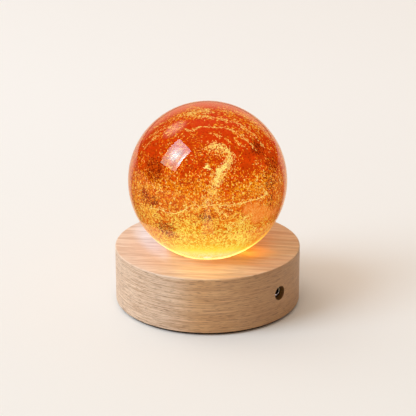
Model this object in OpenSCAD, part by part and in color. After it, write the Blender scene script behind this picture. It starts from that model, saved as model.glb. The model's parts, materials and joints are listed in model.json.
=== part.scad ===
// Glass globe table lamp: a cased glass ball resting in the dished top of a
// turned wooden base, lit from below through a frosted window.
// The origin is on the table under the middle of the base. +Z is up, and +X
// points out of the power socket.

/* [Globe] */
// Outer diameter of the glass ball
globe_d = 80; // [70:1:90]
// Clear glass over the coloured core
casing_t = 2.5; // [1.5:0.5:6]
// How far the ball stands off the dish
seat_gap = 0.3; // [0.2:0.05:0.5]

/* [Wooden base] */
// Diameter of the base
base_d = 94; // [90:1:110]
// Height of the top face above the table
base_h = 30; // [28:0.5:40]
// Rounding of the top edge
top_round = 0.6; // [0.3:0.1:1.5]
// Rounding of the bottom edge
bottom_round = 1; // [0.3:0.1:1.5]
// Wood left outside the base plate
rim_w = 4.5; // [4:0.1:4.8]
// Ring of wood that the base plate screws to
ledge_w = 11; // [9:0.5:13]

/* [Seat and light well] */
// Diameter of the dish where it meets the top face
dish_d = 43; // [40:0.5:48]
// Slope of the dish, in degrees from the table
dish_angle = 28; // [26:0.5:30]
// Diameter of the light well
well_d = 32; // [31:0.5:35]
// Depth of the lens below the top face
lens_drop = 11.5; // [10.5:0.1:12.5]
// Ledge under the lens
lens_ledge_w = 2.5; // [1.5:0.1:3.5]

/* [Lens] */
// Thickness of the lens at its edge
lens_t = 2; // [1.5:0.1:2.5]
// How much the lens rises in its middle
lens_crown = 0.5; // [0.3:0.1:0.8]
// Gap round the lens
lens_gap = 0.2; // [0.1:0.05:0.3]

/* [Power socket] */
// Height of the socket hole above the table
socket_h = 15.7; // [15:0.1:16.5]
// Diameter of the socket hole
socket_d = 7.3; // [7.2:0.1:8]
// Depth of the socket hole at full diameter
socket_depth = 1.9; // [1.8:0.1:2.6]
// How far the jack sits above the middle of the socket hole
jack_rise = 0.6; // [0:0.1:0.6]
// Diameter of the plug barrel that the jack takes
barrel_d = 3.5; // [3.2:0.1:3.6]
// Diameter of the centre pin
pin_d = 1.3; // [1.1:0.1:1.4]
// Length of the jack housing
jack_l = 10; // [9.5:0.1:11]
// Width of the jack housing
jack_w = 7; // [6.5:0.1:7.4]
// Height of the jack housing
jack_t = 6.6; // [6.4:0.1:7]
// Height of the jack's axis above its board
jack_axis_h = 3.3; // [3.2:0.1:3.4]
// Diameter of the jack's nose
nose_d = 5.2; // [5.1:0.1:5.4]
// How far the jack's rim stands in front of its housing
nose_l = 3.2; // [2.6:0.1:3.4]

/* [Boards] */
// Thickness of the LED board
led_board_t = 1.6; // [1:0.1:2]
// How far the LED board reaches past the window
led_board_lap = 7; // [6.5:0.1:8]
// Diameter of the ring of LEDs
led_ring_d = 16; // [14:0.5:18]
// LEDs on the ring
led_count = 6; // [4:1:7]
// Side of one LED
led_w = 3; // [2.5:0.1:3.5]
// Height of one LED
led_t = 0.9; // [0.6:0.1:1.2]
// Thickness of the jack board
jack_board_t = 1.2; // [0.8:0.1:1.6]
// Width of the jack board
jack_board_w = 16.4; // [16:0.1:17.5]
// Length of the jack board
jack_board_l = 15.6; // [15:0.1:16]

/* [Leads] */
// Diameter of each lead
lead_d = 1.3; // [1:0.1:1.5]
// Distance between the two leads
lead_pitch = 5; // [4:0.1:6]
// How low the leads loop below the boards
lead_loop = 4.5; // [4:0.1:5]

/* [Fasteners] */
// Diameter of the board screws
board_screw_d = 2; // [1.8:0.1:2.2]
// Length of the board screws under the head
board_screw_l = 4; // [3.6:0.1:4.5]
// Diameter of the base plate screws
plate_screw_d = 2.5; // [2:0.1:3]
// Length of the base plate screws
plate_screw_l = 9; // [7:0.5:12]
// Base plate screws
plate_screw_count = 4; // [3:1:4]

/* [Underside] */
// Thickness of the base plate
plate_t = 2; // [1.6:0.1:3]
// Gap round the base plate
plate_gap = 0.3; // [0.2:0.05:0.5]
// Thickness of the foam foot pad
pad_t = 1.2; // [0.8:0.1:2]
// How far the foot pad stops short of the base's edge
pad_inset = 2; // [1:0.1:3]

/* [Hidden] */
$fn = 96;

cut = 0.5;            // how far a cutter runs past what it cuts
slip = 0.1;           // clearance round a part in its hole or pocket
tip_gap = 0.3;        // how far a pilot hole runs past its screw's tip
arc_steps = 8;        // straight steps in a quarter of rounding

globe_r = globe_d / 2;
core_r = globe_r - casing_t;
base_r = base_d / 2;

// The ball touches the dish along one circle, seat_gap away from it.
dish_r = dish_d / 2;
globe_z = base_h + (globe_r + seat_gap - dish_r * sin(dish_angle)) / cos(dish_angle);
well_r = well_d / 2;
well_z = base_h - (dish_r - well_r) * tan(dish_angle);
lens_top = base_h - lens_drop;
lens_z = lens_top - lens_t;
lens_r = well_r - lens_gap;
window_r = well_r - lens_ledge_w;

// Both boards hang from one routed ceiling, set by the height of the jack.
jack_z = socket_h + jack_rise;
ceiling_z = jack_z - jack_axis_h;
plate_r = base_r - rim_w;
plate_z = pad_t + plate_t;
cavity_r = plate_r - ledge_w;

// The jack, from its rim inwards.
rim_sink = 0.1;       // how far the sleeve's rim lies behind the socket hole's floor
lip_t = 0.3;          // thickness of the sleeve's rim, which lies on the nose's face
lip_inset = 0.1;      // how far the rim stops short of the nose's edge
lip_fillet = 0.2;     // rounding of the rim into the bore
socket_step = 0.3;    // wood left as a step round the jack's shoulder
shoulder_sink = 0.5;  // how far the shoulder's face lies behind the rim
rim_x = base_r - socket_depth - rim_sink;
nose_x = rim_x - lip_t;
shoulder_x = rim_x - shoulder_sink;
passage_r = socket_d / 2 - socket_step;
face_x = rim_x - nose_l;
back_x = face_x - jack_l;
barrel_r = barrel_d / 2 + 0.03;
sleeve_t = 0.3;       // wall of the sleeve
sleeve_l = 4.5;       // length of the sleeve
sleeve_r = barrel_r + sleeve_t;
back_wall = 1.6;      // plastic behind the barrel
pin_r = pin_d / 2;
pin_foot_r = pin_r + 0.35; // the pin's thick foot, held in the back wall
pin_sink = 2;         // how far the pin's tip lies behind the rim
blade_t = 0.5;        // thickness of the solder blades
blade_w = 1.4;        // width of the solder blades
blade_drop = 1;       // how far a blade sticks out under the board
spring_t = 0.25;      // thickness of the contact spring
spring_w = 1.8;       // width of the contact spring
spring_x = back_x + 3; // rear end of the contact spring
spring_l = 6;         // length of the contact spring
spring_floor = 0.5;   // plastic under the contact spring
pocket_gap = 0.3;     // clearance round the jack in its pocket
pocket_w = jack_w + 2 * pocket_gap;
pocket_x = back_x - blade_t - pocket_gap;

board_back = 0.6;     // how far the jack board stops behind the jack's face
jack_board_x = face_x - board_back - jack_board_l;
slot_w = jack_board_w + 2 * pocket_gap;
slot_end = jack_board_x + jack_board_l + pocket_gap;
jack_screw_x = jack_board_x + 4.5;
jack_screw_y = (pocket_w + jack_board_w) / 4;

led_board_r = window_r + led_board_lap;
led_screw_r = window_r + led_board_lap / 2;
cup_t = 0.5;          // depth of the cup in an LED
cup_r = led_w / 2 - 0.25;
head_r = 1.8;         // radius of a board screw's head
head_t = 1.2;         // height of a board screw's head
plate_screw_r = (plate_r + cavity_r) / 2;
sink_r = 2.6;         // radius of a plate screw's head
sink_t = 1.4;         // height of a plate screw's head
pad_r = base_r - pad_inset;

lead_rings = 16;
lead_sides = 8;
lead_spread = 1.4;    // how far a lead bows outwards in its loop
lead_out_x = jack_board_x + 1.8;
lead_in_x = led_board_r - 3;
joint_r = 1.2;        // radius of a solder joint
joint_t = 0.8;        // height of a solder joint

// Points of a quarter circle of radius r about [x, y], from angle a0 to a1.
function arc(x, y, r, a0, a1) = [
    for (i = [0:arc_steps]) let (a = a0 + (a1 - a0) * i / arc_steps)
        [x + r * cos(a), y + r * sin(a)]
];

// Angles of n copies spread round the axis, the first at half a step.
function ring_angles(n) = [for (i = [0:n - 1]) 360 * (i + 0.5) / n];

function unit(v) = v / norm(v);

// A point on the cubic curve through p[0] and p[3], led by p[1] and p[2].
function bezier(p, t) =
    pow(1 - t, 3) * p[0] + 3 * t * pow(1 - t, 2) * p[1]
    + 3 * t * t * (1 - t) * p[2] + t * t * t * p[3];

function bezier_run(p, t) =
    unit(3 * pow(1 - t, 2) * (p[1] - p[0]) + 6 * t * (1 - t) * (p[2] - p[1])
         + 3 * t * t * (p[3] - p[2]));

// The four guide points of a lead: square off the jack board, down into a
// loop that bows outwards, and square up to the LED board.
function lead_guide(side) =
    let (y = side * lead_pitch / 2, bow = [0, side * lead_spread, -4 / 3 * lead_loop])
    let (a = [lead_out_x, y, ceiling_z - jack_board_t])
    let (b = [lead_in_x, y, ceiling_z - led_board_t])
    [a, [a[0], a[1], a[2] - lead_d], a + bow, b + bow, [b[0], b[1], b[2] - lead_d], b];

// A tube along a list of points, square to the list of directions.
module tube(points, runs, r, sides) {
    n = len(points);
    rings = [
        for (i = [0:n - 1]) let (u = unit(cross(runs[i], [0, 1, 0])), v = cross(runs[i], u))
            for (k = [0:sides - 1]) points[i] + r * (cos(360 * k / sides) * u + sin(360 * k / sides) * v)
    ];
    walls = [
        for (i = [0:n - 2]) for (k = [0:sides - 1]) let (q = (k + 1) % sides)
            each [
                [i * sides + k, i * sides + q, (i + 1) * sides + q],
                [i * sides + k, (i + 1) * sides + q, (i + 1) * sides + k]
            ]
    ];
    near_end = [[for (k = [sides - 1:-1:0]) k]];
    far_end = [[for (k = [0:sides - 1]) (n - 1) * sides + k]];
    polyhedron(concat(rings), concat(walls, near_end, far_end));
}

// A rod along +X from x0 to x1, at height z.
module rod_x(x0, x1, z, r) {
    translate([x0, 0, z]) rotate([0, 90, 0]) cylinder(h = x1 - x0, r = r);
}

// Places its child at radius r on each of n places round the axis.
module around(n, r) {
    for (a = ring_angles(n)) rotate([0, 0, a]) translate([r, 0, 0]) children();
}

// Places its child at both jack board screws.
module at_jack_screws() {
    for (s = [-1, 1]) translate([jack_screw_x, s * jack_screw_y, 0]) children();
}

// Places its child at each end of each lead, on the underside of its board.
module at_lead_ends() {
    for (s = [-1, 1]) {
        translate([lead_out_x, s * lead_pitch / 2, ceiling_z - jack_board_t]) children();
        translate([lead_in_x, s * lead_pitch / 2, ceiling_z - led_board_t]) children();
    }
}

module glass_casing() {
    color([0.96, 0.97, 0.97, 0.35]) translate([0, 0, globe_z]) difference() {
        sphere(r = globe_r);
        sphere(r = core_r);
    }
}

module ember_core() {
    color([0.90, 0.36, 0.06]) translate([0, 0, globe_z]) sphere(r = core_r);
}

// Half of the turned section: the outside with its two roundings, then the
// dish, the light well, the window, the cavity and the recess for the plate.
module wood_section() {
    polygon(concat(
        [[plate_r, pad_t]],
        arc(base_r - bottom_round, pad_t + bottom_round, bottom_round, -90, 0),
        arc(base_r - top_round, base_h - top_round, top_round, 0, 90),
        [
            [dish_r, base_h], [well_r, well_z], [well_r, lens_z], [window_r, lens_z],
            [window_r, ceiling_z], [cavity_r, ceiling_z], [cavity_r, plate_z], [plate_r, plate_z]
        ]
    ));
}

// A blind hole upwards from z = 0, for a screw that reaches l into the wood.
module pilot_hole(l, d) {
    translate([0, 0, -cut]) cylinder(h = cut + l + tip_gap, d = d + slip);
}

module jack_pocket() {
    translate([cavity_r / 2, -slot_w / 2, plate_z - cut])
        cube([slot_end - cavity_r / 2, slot_w, ceiling_z - plate_z + cut]);
    translate([pocket_x, -pocket_w / 2, ceiling_z - cut])
        cube([face_x + pocket_gap - pocket_x, pocket_w, jack_t + pocket_gap + cut]);
    rod_x(face_x, base_r, jack_z, nose_d / 2 + slip);
    rod_x(face_x - pocket_gap, base_r, socket_h, passage_r);
    rod_x(base_r - socket_depth, base_r + cut, socket_h, socket_d / 2);
}

module wooden_base() {
    color([0.80, 0.60, 0.40]) difference() {
        rotate_extrude() wood_section();
        jack_pocket();
        translate([0, 0, ceiling_z]) {
            around(3, led_screw_r) pilot_hole(board_screw_l - led_board_t, board_screw_d);
            at_jack_screws() pilot_hole(board_screw_l - jack_board_t, board_screw_d);
        }
        translate([0, 0, plate_z]) around(plate_screw_count, plate_screw_r)
            pilot_hole(plate_screw_l - plate_t, plate_screw_d);
    }
}

// A frosted disc with a low crown, dropped onto its ledge from above.
module diffuser_lens() {
    crown_r = (lens_r * lens_r + lens_crown * lens_crown) / (2 * lens_crown);
    color([0.97, 0.96, 0.92]) translate([0, 0, lens_z]) rotate_extrude() polygon(concat(
        [[0, 0], [lens_r, 0]],
        arc(0, lens_t + lens_crown - crown_r, crown_r, acos(lens_r / crown_r), 90)
    ));
}

module led_board() {
    color("white") difference() {
        translate([0, 0, ceiling_z - led_board_t]) cylinder(h = led_board_t, r = led_board_r);
        translate([0, 0, ceiling_z - led_board_t - cut]) around(3, led_screw_r)
            cylinder(h = led_board_t + 2 * cut, d = board_screw_d + 2 * slip);
    }
}

// Places its child on top of the LED board at every LED: one in the middle
// and the rest in a ring.
module at_leds() {
    translate([0, 0, ceiling_z]) {
        children();
        around(led_count, led_ring_d / 2) children();
    }
}

// A square package with a tapered cup moulded into its top.
module led_packages() {
    color("ivory") at_leds() difference() {
        translate([-led_w / 2, -led_w / 2, 0]) cube([led_w, led_w, led_t]);
        translate([0, 0, led_t - cup_t]) cylinder(h = cup_t, r1 = cup_r - cup_t, r2 = cup_r);
        translate([0, 0, led_t]) cylinder(h = cut, r = cup_r);
    }
}

// The yellow filling of each cup.
module led_phosphors() {
    color("khaki") at_leds() translate([0, 0, led_t - cup_t])
        cylinder(h = cup_t, r1 = cup_r - cup_t, r2 = cup_r);
}

module led_resistors() {
    size = [2, 1.25, 0.5];
    color("black") translate([0, 0, ceiling_z - led_board_t - size[2]])
        for (i = [-1:1]) translate([-size[0] / 2, i * 3 - size[1] / 2, 0]) cube(size);
}

// A pan-head screw that points up, its head's top face at z = 0.
module board_screw() {
    difference() {
        union() {
            translate([0, 0, -head_t]) cylinder(h = head_t, r1 = head_r - 0.4, r2 = head_r);
            cylinder(h = board_screw_l, d = board_screw_d);
        }
        for (a = [0, 90]) rotate([0, 0, a]) translate([-head_r / 2, -0.2, -head_t - cut])
            cube([head_r, 0.4, cut + head_t / 2]);
    }
}

module led_board_screws() {
    color("silver") translate([0, 0, ceiling_z - led_board_t]) around(3, led_screw_r) board_screw();
}

module jack_board_screws() {
    color("silver") translate([0, 0, ceiling_z - jack_board_t]) at_jack_screws() board_screw();
}

module jack_board() {
    pin_hole_x = back_x - blade_t - slip;
    color("seagreen") translate([0, 0, ceiling_z - jack_board_t]) difference() {
        translate([jack_board_x, -jack_board_w / 2, 0]) cube([jack_board_l, jack_board_w, jack_board_t]);
        translate([0, 0, -cut]) {
            at_jack_screws() cylinder(h = jack_board_t + 2 * cut, d = board_screw_d + 2 * slip);
            for (x = [pin_hole_x, spring_x - slip]) translate([x, -blade_w / 2 - slip, 0])
                cube([blade_t + 2 * slip, blade_w + 2 * slip, jack_board_t + 2 * cut]);
        }
    }
}

// The moulded jack: a block with a round shoulder that fills the bottom of the
// socket hole, a nose that stands out of it, the barrel's bore, a bed for the
// contact spring and a slot for the spring's blade.
module jack_housing() {
    color([0.08, 0.08, 0.09]) difference() {
        union() {
            translate([back_x, -jack_w / 2, ceiling_z]) cube([jack_l, jack_w, jack_t]);
            rod_x(face_x - slip, shoulder_x, socket_h, passage_r - slip);
            rod_x(face_x - slip, nose_x, jack_z, nose_d / 2);
        }
        rod_x(back_x + back_wall, nose_x + cut, jack_z, barrel_r);
        rod_x(rim_x - sleeve_l, nose_x + cut, jack_z, sleeve_r);
        rod_x(back_x - cut, back_x + back_wall + cut, jack_z, pin_foot_r);
        translate([spring_x, -spring_w / 2 - slip, ceiling_z + spring_floor])
            cube([spring_l + slip, spring_w + 2 * slip, jack_axis_h - spring_floor]);
        translate([spring_x - slip, -blade_w / 2 - slip, ceiling_z - cut])
            cube([blade_t + 2 * slip, blade_w + 2 * slip, spring_floor + 2 * cut]);
    }
}

// The nickel-plated liner, turned with a rounded rim that shows as a bright
// ring in the socket.
module jack_sleeve() {
    lip_r = nose_d / 2 - lip_inset;
    color("silver") translate([rim_x, 0, jack_z]) rotate([0, 90, 0]) rotate_extrude() polygon(concat(
        [[barrel_r, -sleeve_l], [sleeve_r, -sleeve_l], [sleeve_r, -lip_t]],
        arc(lip_r - lip_t, -lip_t, lip_t, 0, 90),
        arc(barrel_r + lip_fillet, -lip_fillet, lip_fillet, 90, 180)
    ));
}

// The centre pin, with a thick foot in the back wall, and the blade behind
// the housing that takes it to the board.
module jack_pin() {
    color("gold") {
        rod_x(back_x - blade_t, back_x + back_wall, jack_z, pin_foot_r);
        rod_x(back_x + back_wall, rim_x - pin_sink - pin_r, jack_z, pin_r);
        translate([rim_x - pin_sink - pin_r, 0, jack_z]) sphere(r = pin_r);
        translate([back_x - blade_t, -blade_w / 2, ceiling_z - jack_board_t - blade_drop])
            cube([blade_t, blade_w, jack_board_t + blade_drop + jack_axis_h + pin_r]);
    }
}

// A leaf that lies in its bed and humps up to press on the plug's barrel.
module jack_spring() {
    hump = jack_axis_h - barrel_r - slip - spring_t;
    line = [
        [0, spring_floor], [spring_l * 0.35, spring_floor], [spring_l * 0.6, hump],
        [spring_l * 0.75, hump], [spring_l * 0.95, spring_floor + spring_t]
    ];
    outline = concat(line, [for (i = [len(line) - 1:-1:0]) line[i] + [0, spring_t]]);
    color("goldenrod") {
        translate([spring_x, spring_w / 2, ceiling_z]) rotate([90, 0, 0])
            linear_extrude(height = spring_w) polygon(outline);
        translate([spring_x, -blade_w / 2, ceiling_z - jack_board_t - blade_drop])
            cube([blade_t, blade_w, jack_board_t + blade_drop + spring_floor + spring_t]);
    }
}

// side is 1 for the lead on the +Y side and -1 for the other.
module lead(side) {
    g = lead_guide(side);
    curve = [g[1], g[2], g[3], g[4]];
    inner = [for (i = [0:lead_rings]) bezier(curve, i / lead_rings)];
    runs = [for (i = [0:lead_rings]) bezier_run(curve, i / lead_rings)];
    tube(concat([g[0]], inner, [g[5]]), concat([[0, 0, -1]], runs, [[0, 0, 1]]), lead_d / 2, lead_sides);
}

module lead_red() {
    color("firebrick") lead(1);
}

module lead_black() {
    color([0.1, 0.1, 0.1]) lead(-1);
}

module solder_joints() {
    color("silver") at_lead_ends() translate([0, 0, -joint_t]) difference() {
        cylinder(h = joint_t, r1 = lead_d / 2 + 0.2, r2 = joint_r);
        translate([0, 0, -cut]) cylinder(h = joint_t + 2 * cut, d = lead_d + slip);
    }
}

module base_plate() {
    color([0.12, 0.12, 0.12]) difference() {
        translate([0, 0, pad_t]) cylinder(h = plate_t, r = plate_r - plate_gap);
        translate([0, 0, pad_t]) around(plate_screw_count, plate_screw_r) {
            translate([0, 0, -cut]) cylinder(h = plate_t + 2 * cut, d = plate_screw_d + 2 * slip);
            cylinder(h = sink_t, r1 = sink_r + slip, r2 = plate_screw_d / 2 + slip);
        }
    }
}

module plate_screws() {
    color("silver") translate([0, 0, pad_t]) around(plate_screw_count, plate_screw_r) difference() {
        union() {
            cylinder(h = sink_t, r1 = sink_r, r2 = plate_screw_d / 2);
            cylinder(h = plate_screw_l, d = plate_screw_d);
        }
        for (a = [0, 90]) rotate([0, 0, a]) translate([-sink_r / 2, -0.3, -cut])
            cube([sink_r, 0.6, cut + sink_t / 2]);
    }
}

module foot_pad() {
    color([0.10, 0.09, 0.09]) cylinder(h = pad_t, r = pad_r);
}

glass_casing();
ember_core();
wooden_base();
diffuser_lens();
led_board();
led_packages();
led_phosphors();
led_resistors();
led_board_screws();
jack_board();
jack_housing();
jack_sleeve();
jack_pin();
jack_spring();
jack_board_screws();
lead_red();
lead_black();
solder_joints();
base_plate();
plate_screws();
foot_pad();
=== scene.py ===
import json
import math
import random

import bpy
from mathutils import Matrix, Vector, noise

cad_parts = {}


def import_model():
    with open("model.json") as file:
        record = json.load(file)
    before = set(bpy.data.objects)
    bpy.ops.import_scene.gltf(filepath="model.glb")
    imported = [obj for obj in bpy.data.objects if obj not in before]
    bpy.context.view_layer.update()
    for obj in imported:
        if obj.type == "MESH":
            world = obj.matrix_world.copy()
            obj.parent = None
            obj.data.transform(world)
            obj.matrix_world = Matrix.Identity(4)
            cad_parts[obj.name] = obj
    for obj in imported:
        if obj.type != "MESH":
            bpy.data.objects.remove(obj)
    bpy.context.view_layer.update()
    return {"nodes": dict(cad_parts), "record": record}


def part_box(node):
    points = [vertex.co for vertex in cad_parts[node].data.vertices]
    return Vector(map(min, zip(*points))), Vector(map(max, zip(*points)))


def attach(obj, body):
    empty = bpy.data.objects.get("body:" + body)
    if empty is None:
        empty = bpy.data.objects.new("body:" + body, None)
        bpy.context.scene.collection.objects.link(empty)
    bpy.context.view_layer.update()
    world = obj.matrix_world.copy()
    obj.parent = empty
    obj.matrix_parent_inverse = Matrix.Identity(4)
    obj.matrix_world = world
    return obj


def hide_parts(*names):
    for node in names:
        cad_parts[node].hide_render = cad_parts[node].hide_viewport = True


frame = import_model()
nodes = frame["nodes"]

# Sizes in metres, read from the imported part

MM = 0.001
globe_low, globe_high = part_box("glass_casing")
core_low, core_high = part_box("ember_core")
wood_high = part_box("wooden_base")[1]
mounts = {mount["name"]: mount for mount in frame["record"]["mounts"]}
GLOBE_R = (globe_high.z - globe_low.z) / 2
GLOBE_CENTRE = Vector((0, 0, (globe_high.z + globe_low.z) / 2))
CORE_R = (core_high.z - core_low.z) / 2
BASE_TOP = wood_high.z
# The wood's top and rim, its socket hole and the jack's pin in millimetres, as materials count
WOOD_TOP_Z = BASE_TOP / MM
WOOD_R = wood_high.x / MM
SOCKET_R = mounts["plug_socket"]["dims"]["r_mm"]
SOCKET_Z = mounts["plug_socket"]["pos_m"][2] / MM
JACK_Z = mounts["centre_pin"]["pos_m"][2] / MM

# The photograph's view: the socket on +X lies round to the right

VIEW_AZIMUTH = math.radians(40.2)
VIEW_ELEVATION = math.radians(20.9)
VIEW_DISTANCE = 0.9
VIEW_HEIGHT = 0.0493
VIEW_LENS = 154
VIEW_SIDE = 0.0002
SENSOR = 36


def aim(azimuth, elevation):
    """The unit vector from the lamp's axis outwards; azimuth 0 is -Y and turns towards +X."""
    flat = math.cos(elevation)
    return Vector((math.sin(azimuth) * flat, -math.cos(azimuth) * flat, math.sin(elevation)))


FRONT = aim(VIEW_AZIMUTH, VIEW_ELEVATION)
NEAR = aim(VIEW_AZIMUTH, 0)
RIGHT = Vector((math.cos(VIEW_AZIMUTH), math.sin(VIEW_AZIMUTH), 0))
UP = FRONT.cross(RIGHT)


def in_globe(right, up):
    """The direction from the globe's centre to a place on its face, in globe radii right and up."""
    return right * RIGHT + up * UP + math.sqrt(max(0, 1 - right * right - up * up)) * FRONT


def look_along(direction, up=Vector((0, 0, 1))):
    """The turn of a camera or lamp that looks along a direction."""
    back = -direction.normalized()
    side = up.cross(back).normalized()
    return Matrix((side, back.cross(side), back)).transposed().to_4x4()


def linked(name, data):
    """A new object in the scene that shows some data."""
    made = bpy.data.objects.new(name, data)
    bpy.context.scene.collection.objects.link(made)
    return made


def camera():
    """A long lens at the photograph's viewing angle."""
    data = bpy.data.cameras.new("camera")
    data.lens, data.sensor_width = VIEW_LENS, SENSOR
    data.clip_start, data.clip_end = 0.05, 20
    eye = linked("camera", data)
    place = Vector((0, 0, VIEW_HEIGHT)) + FRONT * VIEW_DISTANCE + RIGHT * VIEW_SIDE
    eye.matrix_world = Matrix.Translation(place) @ look_along(-FRONT)
    bpy.context.scene.camera = eye


# Node trees


def colour(r, g, b):
    """A linear colour from 0 to 255 display values."""
    return tuple(((v / 255 + 0.055) / 1.055) ** 2.4 if v > 10 else v / 255 / 12.92 for v in (r, g, b)) + (1,)


class Tree:
    """Builds a node tree a node at a time; each method returns an output socket."""

    def __init__(self, tree):
        self.nodes, self.links = tree.nodes, tree.links

    def add(self, kind, inputs=(), out=0, **settings):
        node = self.nodes.new("ShaderNode" + kind)
        for key, value in settings.items():
            setattr(node, key, value)
        for name, value in dict(inputs).items():
            self.set(node.inputs[name], value)
        return node.outputs[out]

    def set(self, socket, value):
        if isinstance(value, bpy.types.NodeSocket):
            self.links.new(value, socket)
        else:
            socket.default_value = value

    def maths(self, operation, *values):
        return self.add("Math", enumerate(values), operation=operation)

    def product(self, a, b):
        return self.maths("MULTIPLY", a, b)

    def vector(self, operation, *values, out=0):
        return self.add("VectorMath", enumerate(values), out, operation=operation)

    def along(self, vector, axis):
        """How far a vector reaches along an axis."""
        return self.vector("DOT_PRODUCT", vector, tuple(axis), out="Value")

    def scaled(self, vector, factor):
        return self.add("VectorMath", {0: vector, "Scale": factor}, operation="SCALE")

    def noise(self, vector, scale, detail=2, roughness=0.5, distortion=0, out=0):
        values = {"Vector": vector, "Scale": scale, "Detail": detail}
        return self.add("TexNoise", {**values, "Roughness": roughness, "Distortion": distortion}, out)

    def cells(self, vector, scale, out="Distance", **settings):
        return self.add("TexVoronoi", {"Vector": vector, "Scale": scale}, out, **settings)

    def steps(self, value, low, high, to_low=0, to_high=1):
        """value from low to high, mapped smoothly and clamped."""
        values = {"Value": value, "From Min": low, "From Max": high, "To Min": to_low, "To Max": to_high}
        return self.add("MapRange", values, interpolation_type="SMOOTHSTEP")

    def mix(self, share, a, b):
        """The colour that goes from a to b as share goes from 0 to 1."""
        node = self.nodes.new("ShaderNodeMix")
        node.data_type = "RGBA"
        self.set(node.inputs["Factor"], share)
        self.set(node.inputs[6], a)
        self.set(node.inputs[7], b)
        return node.outputs[2]

    def mix_value(self, share, a, b):
        """The same for two values."""
        return self.add("Mix", {"Factor": share, 2: a, 3: b}, data_type="FLOAT")

    def ramp(self, value, stops):
        """The colour at a value between stops, each a position and a colour."""
        node = self.nodes.new("ShaderNodeValToRGB")
        self.set(node.inputs[0], value)
        ramp = node.color_ramp
        while len(ramp.elements) < len(stops):
            ramp.elements.new(1)
        for element, (position, tint) in zip(ramp.elements, stops):
            element.position, element.color = position, tint
        return node.outputs[0]

    def bump(self, height, strength, distance):
        return self.add("Bump", {"Height": height, "Strength": strength, "Distance": distance})

    def millimetres(self, origin=(0, 0, 0)):
        """Object coordinates in millimetres from an origin in metres."""
        coordinates = self.add("TexCoord", out="Object")
        return self.scaled(self.vector("SUBTRACT", coordinates, tuple(origin)), 1 / MM)

    def effect(self, group, out, **values):
        """Places a shared effect and returns one of its outputs."""
        node = self.nodes.new("ShaderNodeGroup")
        node.node_tree = group
        for key, value in values.items():
            self.set(node.inputs[key], value)
        return node.outputs[out]


def material(name):
    """A new material as (material, Tree, Principled node, Output node)."""
    made = bpy.data.materials.new(name)
    made.use_nodes = True
    tree = Tree(made.node_tree)
    shader = made.node_tree.nodes["Principled BSDF"]
    return made, tree, shader, made.node_tree.nodes["Material Output"]


def surface(t, shader, tone, rough, normal):
    """Gives a shader its colour, roughness and relief."""
    t.set(shader.inputs["Base Color"], tone)
    t.set(shader.inputs["Roughness"], rough)
    t.set(shader.inputs["Normal"], normal)


def effect(name, inputs, outputs):
    """A new node group for a shared effect as (group, Tree, its inputs, its outputs)."""
    made = bpy.data.node_groups.new(name, "ShaderNodeTree")
    for label, kind in inputs:
        made.interface.new_socket(label, in_out="INPUT", socket_type="NodeSocket" + kind)
    for label, kind in outputs:
        made.interface.new_socket(label, in_out="OUTPUT", socket_type="NodeSocket" + kind)
    enter = made.nodes.new("NodeGroupInput")
    leave = made.nodes.new("NodeGroupOutput")
    return made, Tree(made), enter.outputs, leave.inputs


# Shared effects


def mottle_effect():
    """Slow clouds of a slightly other tone, as handling and age leave them."""
    inputs = [("Vector", "Vector"), ("Scale", "Float")]
    made, t, given, result = effect("mottle", inputs, [("Cloud", "Float")])
    cloud = t.noise(given["Vector"], given["Scale"], 4, 0.62)
    t.set(result["Cloud"], t.steps(cloud, 0.3, 0.7))
    return made


def pebble_effect():
    """The fine pebbled skin of moulded, sprayed or foamed plastic."""
    inputs = [("Vector", "Vector"), ("Scale", "Float")]
    made, t, given, result = effect("pebble", inputs, [("Height", "Float")])
    coarse = t.noise(given["Vector"], given["Scale"], 3, 0.6)
    pits = t.cells(given["Vector"], given["Scale"], feature="SMOOTH_F1")
    t.set(result["Height"], t.maths("ADD", coarse, t.product(pits, 0.6)))
    return made


def scratch_effect():
    """Hair scratches in two directions, from machining and from use."""
    inputs = [("Vector", "Vector"), ("Scale", "Float")]
    made, t, given, result = effect("scratches", inputs, [("Scratch", "Float")])
    place = t.scaled(given["Vector"], given["Scale"])
    first = t.noise(t.vector("MULTIPLY", place, (0.12, 1, 2.2)), 1, 3, 0.7)
    second = t.noise(t.vector("MULTIPLY", place, (2.0, 0.15, 0.7)), 1, 3, 0.7)
    t.set(result["Scratch"], t.steps(t.maths("MAXIMUM", first, second), 0.45, 0.75))
    return made


# The lit glass from the ball's foot, at 0, to its top, at 1
HEAT = [
    (0.03, colour(255, 255, 200)),
    (0.075, colour(255, 255, 152)),
    (0.10, colour(255, 236, 56)),
    (0.15, colour(246, 172, 12)),
    (0.23, colour(243, 142, 12)),
    (0.32, colour(237, 117, 14)),
    (0.44, colour(230, 94, 8)),
    (0.60, colour(224, 69, 3)),
    (0.70, colour(222, 56, 2)),
    (0.82, colour(216, 54, 6)),
    (1.00, colour(224, 66, 36)),
]
# The gold in it, from grain to grain
GOLD = [
    (0.36, colour(230, 112, 6)),
    (0.48, colour(242, 144, 14)),
    (0.57, colour(250, 184, 44)),
    (0.66, colour(255, 236, 142)),
]
FOOT_GOLD = colour(254, 234, 98)
# The glow leans a little from upright towards the viewer's side of the ball
HEAT_AXIS = (UP + Vector((0, 0, 1))).normalized()


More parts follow.
